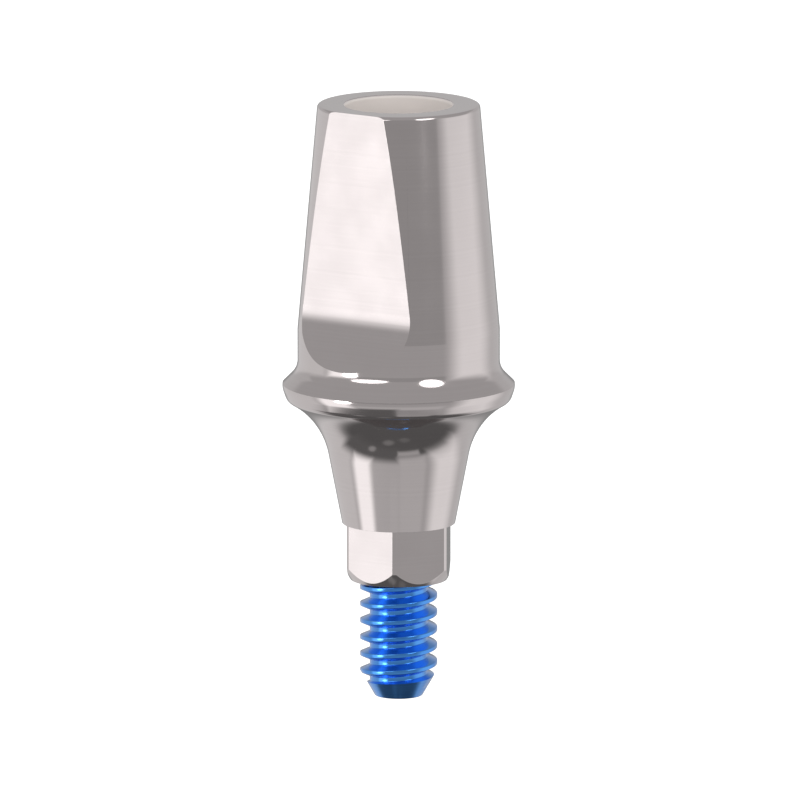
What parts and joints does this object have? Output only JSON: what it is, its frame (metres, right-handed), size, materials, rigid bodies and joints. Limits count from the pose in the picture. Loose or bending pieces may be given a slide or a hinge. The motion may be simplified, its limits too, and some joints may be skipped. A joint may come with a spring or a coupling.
{
  "type": "dental abutment",
  "caption": "Straight cementable titanium dental abutment with a milled flat, a sloping collar, a cone and hexagon connection, and a blue retaining screw.",
  "frame": {"origin": "on the axis at the lower rim of the locking cone, where the cone meets the hexagon", "axes": "+Z along the axis from the hexagon towards the top of the post, -Y out of the milled flat of the post, which is parallel to two flats of the hexagon"},
  "size_m": [0.0048, 0.0048, 0.0124],
  "materials": {
    "titanium": "fine turned and polished titanium, satin to bright, slightly warm",
    "blue_anodised_titanium": "glossy blue anodised titanium"
  },
  "bodies": {
    "abutment": {"abutment_body": "titanium"},
    "screw": {"retaining_screw": "blue_anodised_titanium"}
  },
  "joints": [
    {"name": "screw_turn", "type": "hinge", "parent": "abutment", "child": "screw", "pos_m": [0, 0, 0], "axis": [0, 0, 1], "continuous": true}
  ]
}
